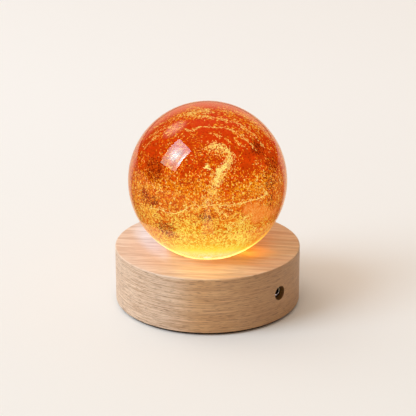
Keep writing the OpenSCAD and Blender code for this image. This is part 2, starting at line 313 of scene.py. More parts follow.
def heat_effect():
    """The glow of the lit ball from its pale yellow foot to its red top, and of the gold in it."""
    made, t, given, result = effect("heat", [("Vector", "Vector")], [("Ground", "Color"), ("Gold", "Color")])
    place = given["Vector"]
    way = t.vector("NORMALIZE", place)
    height = t.along(way, HEAT_AXIS)
    wander = t.maths("MULTIPLY_ADD", t.noise(place, 0.045, 3), 0.6, -0.3)
    near_foot = t.steps(height, -0.95, -0.2)
    level = t.maths("MULTIPLY_ADD", t.maths("MULTIPLY_ADD", wander, near_foot, height), 0.5, 0.5)
    # Beside the foot the glow stays orange to lower down than in front of it
    beside = t.maths("ABSOLUTE", t.along(way, RIGHT))
    beside = t.product(t.steps(beside, 0.35, 0.72, 0, 0.125), t.steps(height, -0.2, -0.6))
    level = t.maths("ADD", level, beside)
    t.set(result["Ground"], t.ramp(level, HEAT))
    gold = t.ramp(t.noise(place, 0.8, 2, 0.7), GOLD)
    t.set(result["Gold"], t.mix(t.steps(level, 0.46, 0.16), gold, FOOT_GOLD))
    return made


# Places on the ball's face, each a list of right, up and reach in globe radii:
# calm glass, dark clouds, the clear patch, places full of gold, the hottest
# sparks and the glint at the foot

CALM = [(-0.17, 0.71, 0.06), (0.05, 0.50, 0.10), (0.00, 0.97, 0.15), (-0.36, 0.90, 0.12),
        (0.34, 0.92, 0.10)]
DARK = [(-0.80, -0.20, 0.09), (-0.70, -0.28, 0.09), (-0.52, -0.63, 0.14), (0.79, -0.02, 0.13),
        (0.80, -0.26, 0.08), (-0.68, 0.13, 0.17), (0.82, 0.20, 0.13), (0.64, 0.39, 0.12),
        (-0.03, -0.47, 0.09)]
CLEAR = [(0.50, -0.37, 0.07), (0.59, -0.38, 0.10), (0.68, -0.41, 0.10), (0.78, -0.42, 0.07),
         (0.60, -0.48, 0.08), (0.85, -0.39, 0.06)]
FULL = [(-0.44, -0.30, 0.10), (-0.40, -0.44, 0.08), (0.02, 0.16, 0.07), (-0.32, -0.12, 0.08),
        (0.70, 0.05, 0.10), (0.62, -0.12, 0.12), (-0.62, -0.45, 0.08)]
HOT = [(0.138, 0.112, 0.016), (-0.004, 0.152, 0.010), (0.11, 0.03, 0.010), (0.17, 0.18, 0.008)]
GLINT = [(-0.02, -0.978, 0.036), (0.03, -0.978, 0.036)]


def places_effect(name, places):
    """A mask that is 1 at places on the ball's face and fades round them."""
    made, t, given, result = effect(name, [("Way", "Vector")], [("Near", "Float")])
    total = 0
    for right, up, reach in places:
        away = t.vector("DISTANCE", given["Way"], tuple(in_globe(right, up)), out="Value")
        mask = t.steps(away, reach * 0.5, reach * 1.5, 1, 0)
        total = t.maths("MAXIMUM", mask, total)
    t.set(result["Near"], total)
    return made


MOTTLE, PEBBLE, SCRATCHES = mottle_effect(), pebble_effect(), scratch_effect()
HEAT_GLOW, AT_CALM, AT_DARK = heat_effect(), places_effect("calm", CALM), places_effect("dark", DARK)
AT_CLEAR, AT_FULL = places_effect("clear", CLEAR), places_effect("full", FULL)
AT_HOT, AT_GLINT = places_effect("hot", HOT), places_effect("glint", GLINT)


# The glass ball's core

CORE_GLOW = 0.95
THREAD_GLOW = 1
# The share of a glowing tint that is left to the lamps to light
LIT_SHARE = 0.12
THROWN_TINT = (1.08, 0.4, 0.032, 1)
RELIEF = 0.5 * MM
# The casing and the core are each cast from a cube with this many cuts across its faces
CASING_CUTS, CORE_CUTS = 63, 95
# Tints of its umber and its clouds: near the foot, above it, in dark places and at the top
UMBER_LOW, UMBER = colour(200, 74, 4), colour(172, 42, 2)
UMBER_DARK, UMBER_TOP = colour(112, 30, 2), colour(196, 36, 2)
CLOUD_LOW, CLOUD, CLOUD_DARK = colour(212, 88, 5), colour(194, 60, 3), colour(190, 68, 4)
FAINT_GRAIN = colour(238, 106, 14)
HAZE, HAZE_PALE = colour(246, 126, 30), colour(255, 170, 80)
HOT_TINT, GLINT_TINT = (1.15, 1.1, 0.72, 1), (1.3, 1.25, 1.0, 1)
BLACK, WHITE = (0, 0, 0, 1), (1, 1, 1, 1)
# What the glass lets through to its shadow
CORE_SHADOW, THREAD_SHADOW = (0.2, 0.18, 0.17, 1), (0.3, 0.28, 0.26, 1)
CASING_SHADOW = (0.96, 0.96, 0.96, 1)


def thrown(t, tint):
    """A glow's tint, and the warmer one of the light that it throws on the wood."""
    bounced = t.maths("MINIMUM", t.add("LightPath", out="Diffuse Depth"), 1)
    return t.mix(bounced, tint, THROWN_TINT)


def strayed_by(t, vector, by, scale, detail, roughness, reach):
    """A vector pushed about by noise that is read at another one."""
    push = t.noise(by, scale, detail, roughness, out="Color")
    return t.vector("ADD", vector, t.scaled(t.vector("SUBTRACT", push, (0.5, 0.5, 0.5)), reach))


def ember_material():
    """Glowing glass: grains of gold and umber over clouds, gathered along curly veins."""
    made, t, shader, output = material("ember_glass")
    place = t.millimetres(GLOBE_CENTRE)
    way = t.vector("NORMALIZE", place)
    rise = t.along(way, UP)
    ground = t.effect(HEAT_GLOW, "Ground", Vector=place)
    gold = t.effect(HEAT_GLOW, "Gold", Vector=place)
    # Slow swirls push every finer figure about, and the places have ragged outlines
    swirled = strayed_by(t, place, place, 0.05, 2, 0.5, 8)
    curled = strayed_by(t, swirled, swirled, 0.9, 1, 0.5, 1.6)
    strayed = strayed_by(t, way, place, 0.2, 3, 0.7, 0.22)
    busy = t.maths("MULTIPLY_ADD", t.effect(AT_CALM, "Near", Way=strayed), -0.8, 1)
    dark = t.effect(AT_DARK, "Near", Way=strayed)
    # Gold gathers along curly veins, and umber between them
    vein = t.maths("ABSOLUTE", t.maths("SUBTRACT", t.noise(swirled, 0.75, 2, 0.6), 0.5))
    vein = t.maths("SUBTRACT", 0.08, vein)
    speck = t.along(t.cells(curled, 1.7, out="Color"), (1, 0, 0))
    # Grains of gold, dense and sparse by turns
    rich = t.steps(t.noise(swirled, 0.09, 3, 0.6), 0.36, 0.60, -0.24, 0.08)
    rich = t.maths("ADD", rich, t.product(t.effect(AT_FULL, "Near", Way=strayed), 0.26))
    rich = t.maths("SUBTRACT", rich, t.steps(rise, -0.1, 0.35, 0, 0.42))
    rich = t.maths("ADD", rich, t.steps(rise, 0.45, 0.7, 0, 0.04))
    rich = t.maths("ADD", rich, t.product(vein, 1.8))
    rich = t.maths("SUBTRACT", rich, t.product(dark, 0.12))
    lit = t.product(t.steps(t.maths("ADD", speck, rich), 0.55, 0.80), busy)
    # Fainter grains lie under them, and clouds of a deeper tone
    faint = t.steps(t.noise(curled, 1.2, 2, 0.7), 0.42, 0.62, 0, 0.3)
    ground = t.mix(t.product(faint, t.steps(rise, -0.5, 0)), ground, FAINT_GRAIN)
    belt = t.product(t.steps(rise, 0.75, 0.3), t.steps(rise, -0.85, -0.35))
    cloud = t.product(t.steps(t.noise(swirled, 0.3, 3, 0.65), 0.42, 0.60, 0, 0.7), belt)
    cloud = t.product(t.maths("MAXIMUM", cloud, t.product(dark, 0.62)), busy)
    deep = t.mix(t.steps(rise, -0.7, 0), CLOUD_LOW, CLOUD)
    clouded = t.mix(cloud, ground, t.mix(dark, deep, CLOUD_DARK))
    # Grains of umber, in patches
    patch = t.steps(t.noise(swirled, 0.1, 3, 0.6, 3), 0.50, 0.66, 0, 0.7)
    patch = t.maths("MAXIMUM", patch, t.product(dark, 1.5))
    shade = t.maths("SUBTRACT", speck, t.product(patch, 0.3))
    shade = t.maths("ADD", shade, t.product(vein, 1.6))
    shade = t.product(t.steps(shade, 0.14, -0.06), t.steps(rise, -0.98, -0.6))
    umber = t.mix(t.steps(rise, -0.7, 0), UMBER_LOW, UMBER)
    umber = t.mix(t.product(dark, 0.85), umber, UMBER_DARK)
    umber = t.mix(t.steps(rise, 0.45, 0.8), umber, UMBER_TOP)
    body = t.mix(t.product(shade, busy), t.mix(lit, clouded, gold), umber)
    haze = t.mix(t.steps(t.noise(swirled, 1.3, 2, 0.7), 0.38, 0.62), HAZE, HAZE_PALE)
    body = t.mix(t.product(t.effect(AT_CLEAR, "Near", Way=strayed), 0.86), body, haze)
    body = t.mix(t.effect(AT_HOT, "Near", Way=strayed), body, HOT_TINT)
    body = t.mix(t.effect(AT_GLINT, "Near", Way=way), body, GLINT_TINT)
    unlit = t.mix(1 - LIT_SHARE, body, BLACK)
    surface(t, shader, unlit, t.steps(lit, 0, 1, 0.55, 0.3), t.bump(lit, 0.3, 0.4 * MM))
    t.set(shader.inputs["Emission Color"], thrown(t, body))
    t.set(shader.inputs["Emission Strength"], CORE_GLOW)
    t.set(shader.inputs["Specular IOR Level"], 0)
    shine_through(t, shader, output, CORE_SHADOW)
    return made


def shine_through(t, shader, output, tint):
    """Lets a share of the lamps' light through to what lies in the shadow."""
    rays = t.add("LightPath", out="Is Shadow Ray")
    clear = t.add("BsdfTransparent", {"Color": tint})
    t.set(output.inputs["Surface"], t.add("MixShader", {0: rays, 1: shader.outputs[0], 2: clear}))


def smooth_ball(name, radius, cuts):
    """A ball without poles: a cube, cut finely and cast round."""
    bpy.ops.object.select_all(action="DESELECT")
    bpy.ops.mesh.primitive_cube_add(size=2 * radius, location=GLOBE_CENTRE)
    piece = bpy.context.object
    piece.name = name
    bpy.ops.object.mode_set(mode="EDIT")
    bpy.ops.mesh.select_all(action="SELECT")
    bpy.ops.mesh.subdivide(number_cuts=cuts)
    bpy.ops.transform.tosphere(value=1)
    bpy.ops.object.mode_set(mode="OBJECT")
    bpy.ops.object.transform_apply(location=True, rotation=False, scale=False)
    for vertex in piece.data.vertices:
        way = vertex.co - GLOBE_CENTRE
        vertex.co = GLOBE_CENTRE + way.normalized() * radius
    bpy.ops.object.shade_smooth()
    return piece


def ember_core():
    """The core, cast round and then worked into low ridges and hollows."""
    piece = smooth_ball("globe_core", CORE_R, CORE_CUTS)
    for vertex in piece.data.vertices:
        way = (vertex.co - GLOBE_CENTRE).normalized()
        swirl = way + 0.35 * noise.noise_vector(way * 2)
        ridge = abs(noise.noise(swirl * 7)) + 0.5 * abs(noise.noise(swirl * 16))
        vertex.co = GLOBE_CENTRE + way * (CORE_R - RELIEF * min(1, ridge))
    return piece


# Threads in the clear glass, gold and umber

GOLD_COUNT, UMBER_COUNT = 12500, 4200
GOLD_SEED, UMBER_SEED, LINE_SEED = 7, 5, 11
# The heights from which they lie in the glass; the gold ones lie in all of it
GOLD_FROM, UMBER_FROM = -2, -0.45
# Lengths and widths in millimetres, of loose threads and of those along a line
LOOSE_LENGTH, LOOSE_WIDTH = (0.6, 1.8), (0.22, 0.44)
GUIDED_LENGTH, GUIDED_WIDTH = (0.5, 1.3), (0.24, 0.42)
THREAD_FLATNESS, THREAD_BEND = 0.3, 0.4
THREAD_DEPTHS = (CORE_R + 0.3 * MM, GLOBE_R - 0.9 * MM)
LINE_DEPTH = (THREAD_DEPTHS[0] + THREAD_DEPTHS[1]) / 2
PALE_GOLD, DUSKY_GOLD = colour(255, 236, 132), colour(224, 108, 16)
BROWN_LOW, BROWN, BROWN_TOP = colour(196, 80, 4), colour(150, 38, 1), colour(170, 26, 2)
BROWN_PALE = colour(208, 78, 4)
# Loose threads lie across an axis that points at the viewer, turned by up to so many radians,
# less so above a height, where they make rings
SWIRL_AXIS = in_globe(0.06, -0.02)
RING_RISE = 0.45
LOOSE_SPREAD, RING_SPREAD, GUIDED_SPREAD = 1.6, 0.6, 0.9
# Between these heights, and in dark places, a share of the loose threads is left out
SPARSE_BAND = (0.1, 0.5)
BAND_SKIP, DUSKY_SKIP = 0.5, 0.4
# Each stretch of a line is rounded in this many steps
GUIDE_STEPS = 6
# Lines on the ball's face: points right and up in globe radii, how many threads lie along it,
# their spread and the thickness of its strand, both in mm, and how pale it is
LINES = {
    "hook": ([(-0.01, 0.37), (0.13, 0.40), (0.23, 0.35), (0.27, 0.27), (0.24, 0.16), (0.17, 0.08),
              (0.13, 0.02), (0.09, -0.07), (0.07, -0.18), (-0.03, -0.27)], 560, 1.7, 0, 0.5),
    "loop": ([(0.02, 0.40), (0.13, 0.41), (0.24, 0.36), (0.28, 0.27), (0.25, 0.18)], 120, 0.8, 0, 0.8),
    "heart": ([(0.24, 0.20), (0.20, 0.14), (0.15, 0.09), (0.12, 0.02), (0.09, -0.07)], 150, 0.8, 0, 1),
    "spark": ([(0.0, 0.17), (-0.02, 0.14), (0.02, 0.13)], 26, 0.5, 0.5, 1),
    "bright_spark": ([(0.12, 0.13), (0.14, 0.11), (0.16, 0.10)], 30, 0.4, 0.9, 1),
    "strand": ([(-0.74, -0.35), (-0.59, -0.37), (-0.51, -0.41), (-0.38, -0.42), (-0.29, -0.38),
                (-0.18, -0.32), (-0.06, -0.33), (0.09, -0.32), (0.24, -0.32), (0.40, -0.30),
                (0.51, -0.27), (0.63, -0.24), (0.70, -0.20), (0.74, -0.16)], 120, 0.8, 0.3, 0.8),
    "haze": ([(-0.88, -0.06), (-0.66, -0.07), (-0.49, -0.16), (-0.26, -0.18)], 110, 1.2, 0, 0.1),
    "arch": ([(-0.16, -0.36), (0.05, -0.33), (0.11, -0.38), (0.20, -0.43), (0.25, -0.46)], 80, 0.6, 0.1, 0.5),
    "edge": ([(0.25, -0.65), (0.29, -0.56), (0.42, -0.54), (0.47, -0.48), (0.54, -0.42)], 80, 0.8, 0.12, 0.5),
    "crown": ([(-0.30, 0.80), (-0.16, 0.84), (-0.05, 0.86), (0.06, 0.85)], 150, 1.3, 0, 0.7),
    "brow": ([(0.12, 0.87), (0.30, 0.85), (0.47, 0.79), (0.61, 0.69), (0.74, 0.58), (0.80, 0.50)],
             190, 1.3, 0, 0.3),
    "first_arc": ([(-0.26, 0.81), (-0.16, 0.79), (0.00, 0.78), (0.15, 0.76), (0.24, 0.73), (0.37, 0.70),
                   (0.44, 0.65), (0.52, 0.60), (0.61, 0.52), (0.69, 0.41)], 170, 0.6, 0, 0.6),
    "second_arc": ([(-0.28, 0.62), (-0.19, 0.60), (-0.10, 0.65), (0.05, 0.65), (0.19, 0.64), (0.30, 0.61),
                    (0.38, 0.56), (0.46, 0.50), (0.54, 0.43), (0.61, 0.35)], 120, 0.35, 0, 0.5),
    "third_arc": ([(0.03, 0.57), (0.11, 0.55), (0.22, 0.50), (0.28, 0.46)], 30, 0.3, 0, 0.3),
    "fourth_arc": ([(0.30, 0.54), (0.38, 0.45), (0.45, 0.41)], 26, 0.3, 0, 0.4),
    "left_arc": ([(-0.74, 0.61), (-0.60, 0.69), (-0.47, 0.74), (-0.33, 0.80)], 45, 0.5, 0, 0.2),
    "low_left_arc": ([(-0.75, 0.52), (-0.58, 0.62), (-0.44, 0.66)], 50, 0.4, 0, 0.3),
    "inner_left_arc": ([(-0.79, 0.38), (-0.69, 0.50), (-0.60, 0.55)], 40, 0.5, 0, 0.3),
}


def thread_material(name, pale, dusky):
    """The gold of a thread; dusky threads turn brown at the dark places."""
    made, t, shader, output = material(name)
    place = t.millimetres(GLOBE_CENTRE)
    gold = t.effect(HEAT_GLOW, "Gold", Vector=place)
    if dusky:
        near = t.effect(AT_DARK, "Near", Way=t.vector("NORMALIZE", place))
        gold = t.mix(t.product(near, 0.5), gold, DUSKY_GOLD)
    return lit_thread(made, t, shader, output, t.mix(pale, gold, PALE_GOLD))


def umber_material():
    """The brown threads, redder towards the top."""
    made, t, shader, output = material("umber_thread")
    place = t.millimetres(GLOBE_CENTRE)
    rise = t.along(t.vector("NORMALIZE", place), UP)
    deep = t.mix(t.steps(rise, -0.7, 0), BROWN_LOW, BROWN)
    deep = t.mix(t.steps(rise, 0.45, 0.8), deep, BROWN_TOP)
    return lit_thread(made, t, shader, output, t.mix(t.noise(place, 0.5, 2), deep, BROWN_PALE))


def lit_thread(made, t, shader, output, tint):
    """A thread that glows in its own tint and is a little glossy."""
    place = t.millimetres(GLOBE_CENTRE)
    t.set(shader.inputs["Base Color"], t.mix(1 - LIT_SHARE, tint, BLACK))
    t.set(shader.inputs["Emission Color"], thrown(t, tint))
    t.set(shader.inputs["Emission Strength"], THREAD_GLOW)
    t.set(shader.inputs["Specular IOR Level"], 0.1)
    t.set(shader.inputs["Roughness"], t.steps(t.noise(place, 1.2, 2), 0.3, 0.7, 0.25, 0.5))
    shine_through(t, shader, output, THREAD_SHADOW)
    return made


def thread_shape():
    """One thread, 1 long, 1 wide and 1 deep: its corners and faces."""
    bpy.ops.object.select_all(action="DESELECT")
    bpy.ops.mesh.primitive_uv_sphere_add(segments=4, ring_count=2, radius=0.5, rotation=(0, math.pi / 2, 0))
    piece = bpy.context.object
    bpy.ops.object.transform_apply(location=True, rotation=True, scale=True)
    corners = [v.co.copy() for v in piece.data.vertices]
    faces = [tuple(f.vertices) for f in piece.data.polygons]
    bpy.data.objects.remove(piece, do_unlink=True)
    return corners, faces


def scatter(name, spots):
    """One mesh of threads; each spot is (place, along, length, width, bend)."""
    corners, faces = thread_shape()
    points, polygons = [], []
    for place, along, length, width, bend in spots:
        out = (place - GLOBE_CENTRE).normalized()
        along = (along - along.dot(out) * out).normalized()
        side = out.cross(along)
        first = len(points)
        for c in corners:
            sag = bend * (1 - 4 * c.x * c.x)
            aside = side * (c.y * width + sag * length)
            points.append(place + along * c.x * length + aside + out * c.z * width * THREAD_FLATNESS)
        polygons += [tuple(first + i for i in f) for f in faces]
    mesh = bpy.data.meshes.new(name)
    mesh.from_pydata(points, [], polygons)
    return linked(name, mesh)


def thread_at(draw, way, along, spread, length, width):
    """A spot for a thread near a direction from the globe's centre, turned by up to spread radians."""
    place = GLOBE_CENTRE + way * draw.uniform(*THREAD_DEPTHS)
    turn = Matrix.Rotation(draw.uniform(-spread, spread), 3, way)
    return place, turn @ along, length, width, draw.uniform(-THREAD_BEND, THREAD_BEND)


def loose_threads(name, count, seed, lowest, sparse):
    """Threads all round the globe but its calm places, and fewer of them at the sparse ones."""
    draw = random.Random(seed)
    calm = [(in_globe(right, up), reach) for right, up, reach in CALM + CLEAR]
    thin = [(in_globe(right, up), reach) for right, up, reach in sparse]
    spots = []
    while len(spots) < count:
        way = Vector([draw.gauss(0, 1) for _ in range(3)]).normalized()
        cover = noise.noise(way * 2.2) + 0.6 * noise.noise(way * 7)
        rise = way.dot(UP)
        if cover < draw.uniform(-0.5, 0.6) or rise < draw.uniform(lowest - 0.2, lowest + 0.2):
            continue
        if SPARSE_BAND[0] < rise < SPARSE_BAND[1] and draw.random() < BAND_SKIP:
            continue
        if draw.random() < DUSKY_SKIP and any((way - middle).length < reach * 1.2 for middle, reach in thin):
            continue
        if any((way - middle).length < reach * draw.uniform(0.9, 1.7) for middle, reach in calm):
            continue
        ring = SWIRL_AXIS.cross(way)
        spread = RING_SPREAD if rise > RING_RISE else LOOSE_SPREAD
        length, width = draw.uniform(*LOOSE_LENGTH) * MM, draw.uniform(*LOOSE_WIDTH) * MM
        spots.append(thread_at(draw, way, ring, spread, length, width))
    return scatter(name, spots)


def smooth_ways(guide):
    """Directions along a smooth line through a guide's points, on the ball."""
    ways = [in_globe(*p) for p in guide]
    ways = [2 * ways[0] - ways[1]] + ways + [2 * ways[-1] - ways[-2]]
    line = []
    for a, b, c, d in zip(ways, ways[1:], ways[2:], ways[3:]):
        for i in range(GUIDE_STEPS):
            u = i / GUIDE_STEPS
            bend = (2 * a - 5 * b + 4 * c - d) * u * u + (3 * b - a - 3 * c + d) * u ** 3
            line.append((b + ((c - a) * u + bend) / 2).normalized())
    return line + [ways[-2].normalized()]


def guided_threads(name, guide, count, spread_mm, draw):
    """Threads gathered along a guide line drawn on the globe's face."""
    ways = smooth_ways(guide)
    spots = []
    for _ in range(count):
        k = draw.randrange(len(ways) - 1)
        away = Vector([draw.gauss(0, spread_mm * MM / GLOBE_R) for _ in range(3)])
        way = (ways[k].lerp(ways[k + 1], draw.random()) + away).normalized()
        along = ways[k + 1] - ways[k]
        length, width = draw.uniform(*GUIDED_LENGTH) * MM, draw.uniform(*GUIDED_WIDTH) * MM
        spots.append(thread_at(draw, way, along, GUIDED_SPREAD, length, width))
    return scatter(name, spots)


def strand(name, guide, thickness_mm, draw):
    """One unbroken thread of uneven thickness along a guide line."""
    curve = bpy.data.curves.new(name, "CURVE")
    curve.dimensions = "3D"
    curve.bevel_depth = thickness_mm / 2 * MM
    curve.bevel_resolution = 1
    curve.use_fill_caps = True
    ways = smooth_ways(guide)
    line = curve.splines.new("POLY")
    line.points.add(len(ways) - 1)
    for i, (point, way) in enumerate(zip(line.points, ways)):
        wobble = Vector([draw.gauss(0, 0.1 * MM) for _ in range(3)])
        point.co = (*(GLOBE_CENTRE + way * LINE_DEPTH + wobble), 1)
        point.radius = 0.3 if i in (0, len(ways) - 1) else draw.uniform(0.6, 1.3)
    piece = linked(name, curve)
    bpy.ops.object.select_all(action="DESELECT")
    piece.select_set(True)
    bpy.context.view_layer.objects.active = piece
    bpy.ops.object.convert(target="MESH")
    bpy.ops.object.shade_smooth()
    return bpy.context.object


# The clear casing

GLASS_IOR = 1.7
EDGE_GLOW = 0.9
# The rim's tint, and the painted reflection on the right of the rim
RIM_TINT, RIGHT_PAINTED_REFLECTION = colour(222, 184, 168), colour(232, 204, 228)
EDGE_GOLD, EDGE_PALE = colour(255, 200, 10), colour(255, 252, 140)


def casing_material():
    """Clear glass, tinted at its rim, with a painted reflection on the right of its rim and a line of light
    along its foot.
    """
    made, t, shader, output = material("clear_glass")
    place = t.millimetres(GLOBE_CENTRE)
    way = t.vector("NORMALIZE", place)
    facing = t.add("LayerWeight", {"Blend": 0.5}, "Facing")
    height = t.along(way, UP)
    aside = t.along(way, RIGHT)
    # The longer way through the glass at the rim tints it; on the right, a painted reflection tints the rim
    # lavender
    rim = t.product(t.steps(facing, 0.72, 1), t.steps(height, -0.95, -0.7))
    tint = t.mix(rim, WHITE, RIM_TINT)
    right = t.product(t.steps(height, 0.5, 0.25), t.steps(height, -0.62, -0.46))
    right = t.product(right, t.steps(aside, 0.7, 0.84))
    right = t.product(right, t.steps(facing, 0.46, 0.64))
    t.set(shader.inputs["Base Color"], t.mix(right, tint, RIGHT_PAINTED_REFLECTION))
    t.set(shader.inputs["IOR"], GLASS_IOR)
    t.set(shader.inputs["Transmission Weight"], 1)
    # Light from the well runs round in the glass and leaves it at its lower edge
    edge = t.product(t.steps(facing, 0.74, 0.96), t.steps(height, -0.52, -0.84))
    edge = t.product(edge, t.steps(aside, -0.7, 0.7, 0.8, 1.5))
    pale = t.mix(t.steps(height, -0.66, -0.9), EDGE_GOLD, EDGE_PALE)
    t.set(shader.inputs["Emission Color"], t.mix(edge, BLACK, thrown(t, pale)))
    t.set(shader.inputs["Emission Strength"], EDGE_GLOW)
    t.set(shader.inputs["Roughness"], 0)
    t.set(shader.inputs["Normal"], t.bump(t.noise(place, 0.035, 1), 0.05, 1 * MM))
    shine_through(t, shader, output, CASING_SHADOW)
    return made


# Wood

GRAIN_TURN = VIEW_AZIMUTH - math.radians(8)
# The turned side: its layers, its painted sheen on the left and its painted shade on the right
WOOD_PALE, WOOD_MIDDLE, WOOD_DEEP = colour(230, 181, 128), colour(224, 173, 118), colour(217, 164, 108)
WOOD_PAINTED_SHEEN, WOOD_PAINTED_SHADE = colour(242, 216, 192), colour(195, 145, 92)
# The top: its bands, its painted light at the left end, its painted shadow at the right end, and the ball's
# glow painted round the seat
TOP_PALE, TOP_DEEP = colour(247, 216, 183), colour(236, 190, 149)
TOP_PAINTED_LIGHT, TOP_PAINTED_SHADOW, TOP_PAINTED_GLOW = colour(238, 220, 206), colour(220, 186, 142), colour(236, 150, 62)
# Fibres, flecks, and the darker wall of the socket hole
WOOD_FIBRE, WOOD_FLECK, WOOD_HOLE_DARK = colour(172, 120, 74), colour(124, 76, 40), colour(122, 82, 30)


def wood_material():
    """A board turned with its layers lying flat, sanded and lacquered."""
    made, t, shader, _ = material("turned_wood")
    place = t.millimetres()
    turned = t.add("Mapping", {"Vector": place, "Rotation": (0, 0, -GRAIN_TURN)})
    sway = t.noise(t.vector("MULTIPLY", turned, (0.02, 0.04, 0.08)), 1, 2, out="Color")
    sway = t.vector("MULTIPLY", t.vector("SUBTRACT", sway, (0.5, 0.5, 0.5)), (3, 3, 0.8))
    waved = t.vector("ADD", turned, sway)

    def grain(along, across, down, detail=3, roughness=0.6):
        """Noise drawn out along the grain; the board's layers lie flat, so it is finest downwards."""
        return t.noise(t.vector("MULTIPLY", waved, (along, across, down)), 1, detail, roughness)

    height = t.along(place, (0, 0, 1))
    top = t.steps(height, WOOD_TOP_Z - 0.5, WOOD_TOP_Z)
    side = t.maths("SUBTRACT", 1, top)
    rings = grain(0.010, 0.12, 0.22, 2)
    fibres = grain(0.04, 0.6, 3.0, 3, 0.7)
    layers = grain(0.045, 0.05, 2.0, 4, 0.72)
    flecks = t.steps(grain(0.22, 0.26, 2.4, 1), 0.57, 0.65)
    tone = t.ramp(rings, [(0.34, WOOD_DEEP), (0.46, WOOD_MIDDLE), (0.56, WOOD_PALE), (0.68, WOOD_MIDDLE)])
    # Painted sheen makes the side paler on the left, and painted shade makes it darker on the right
    leftward = t.along(place, -RIGHT)
    tone = t.mix(t.steps(leftward, 2, 24, 0, 0.85), tone, WOOD_PAINTED_SHEEN)
    tone = t.mix(t.steps(leftward, 0, -36, 0, 0.9), tone, WOOD_PAINTED_SHADE)
    bands = t.steps(grain(0.026, 0.34, 0.1, 3, 0.55), 0.38, 0.64)
    bands = t.mix(bands, TOP_DEEP, TOP_PALE)
    # Painted light makes the top paler on the left, and a painted shadow of the ball makes it darker on the
    # right
    bands = t.mix(t.steps(leftward, -6, 36, 0, 0.72), bands, TOP_PAINTED_LIGHT)
    tone = t.mix(top, tone, t.mix(t.steps(leftward, -12, -42, 0, 0.3), bands, TOP_PAINTED_SHADOW))
    # Painted light: round the seat, on the right, the top is painted with the ball's glow
    off_axis = t.vector("LENGTH", t.vector("MULTIPLY", place, (1, 1, 0)), out="Value")
    ball_glow_paint = t.product(t.steps(off_axis, 38, 27, 0, 0.4), t.steps(leftward, 12, -6))
    tone = t.mix(t.product(ball_glow_paint, top), tone, TOP_PAINTED_GLOW)
    lines = t.product(t.steps(layers, 0.58, 0.40, 0, 0.6), side)
    tone = t.mix(lines, tone, WOOD_FIBRE)
    threads = t.product(t.steps(fibres, 0.60, 0.36), t.steps(top, 0, 1, 0.28, 0.4))
    tone = t.mix(threads, tone, WOOD_FIBRE)
    tone = t.mix(t.product(flecks, t.steps(top, 0, 1, 0.46, 0.04)), tone, WOOD_FLECK)
    # A painted highlight makes the rim of the top paler, towards the left
    outer = t.steps(off_axis, WOOD_R - 0.7, WOOD_R - 0.2)
    rim = t.product(outer, t.steps(height, WOOD_TOP_Z - 0.9, WOOD_TOP_Z - 0.5))
    tone = t.mix(t.product(rim, t.steps(leftward, -4, 28, 0, 0.3)), tone, WOOD_PAINTED_SHEEN)
    # The wood is darker on the wall of the socket hole
    beside = t.vector("DISTANCE", t.vector("MULTIPLY", place, (0, 1, 1)), (0, 0, SOCKET_Z), out="Value")
    outward = t.along(place, (1, 0, 0))
    hole_dark = t.product(t.steps(beside, SOCKET_R + 0.1, SOCKET_R), t.steps(outward, 38, 40))
    tone = t.mix(hole_dark, tone, WOOD_HOLE_DARK)
    relief = t.maths("SUBTRACT", layers, t.product(flecks, 0.5))
    surface(t, shader, tone, t.steps(fibres, 0.3, 0.7, 0.52, 0.36), t.bump(relief, 0.2, 0.08 * MM))
    t.set(shader.inputs["Specular IOR Level"], 0.7)
    return made


# Finishes of the fittings


def finish(name, tint, other, rough, skin, scale, depth_mm, metallic=0):
    """Two tones in slow clouds, with the fine skin of one shared effect on top."""
    made, t, shader, _ = material(name)
    place = t.millimetres()
    cloud = t.effect(MOTTLE, "Cloud", Vector=place, Scale=scale * 0.15)
    group, out = skin
    fine = t.effect(group, out, Vector=place, Scale=scale)
    tone = t.mix(cloud, colour(*tint), colour(*other))
    dull = t.steps(t.maths("ADD", cloud, fine), 0, 2, *rough)
    surface(t, shader, tone, dull, t.bump(fine, 0.5, depth_mm * MM))
    t.set(shader.inputs["Metallic"], metallic)
    return made


PEBBLED, SCRATCHED = (PEBBLE, "Height"), (SCRATCHES, "Scratch")
# Tint, other tint, least and most roughness, skin, its scale per mm, its depth in mm and metallic
FINISHES = {
    "screw_steel": ((198, 200, 204), (166, 168, 172), (0.22, 0.42), SCRATCHED, 3, 0.01, 1),
    "pin_brass": ((226, 188, 108), (196, 156, 82), (0.18, 0.34), SCRATCHED, 4, 0.005, 1),
    "spring_bronze": ((206, 152, 94), (172, 120, 70), (0.22, 0.4), SCRATCHED, 4, 0.005, 1),
    "solder": ((200, 201, 204), (164, 165, 170), (0.25, 0.5), PEBBLED, 2, 0.05, 1),
    "jack_black": ((16, 15, 15), (28, 26, 25), (0.3, 0.5), PEBBLED, 5, 0.02, 0),
    "led_case": ((240, 234, 216), (226, 218, 196), (0.45, 0.65), PEBBLED, 6, 0.01, 0),
    "resistor_black": ((24, 24, 27), (44, 43, 46), (0.25, 0.4), PEBBLED, 5, 0.01, 0),
    "lead_red": ((178, 28, 20), (148, 18, 14), (0.32, 0.5), PEBBLED, 3, 0.02, 0),
    "lead_black": ((22, 22, 23), (38, 37, 37), (0.32, 0.5), PEBBLED, 3, 0.02, 0),
    "plate_black": ((32, 31, 30), (48, 46, 44), (0.6, 0.85), PEBBLED, 2.5, 0.06, 0),
}


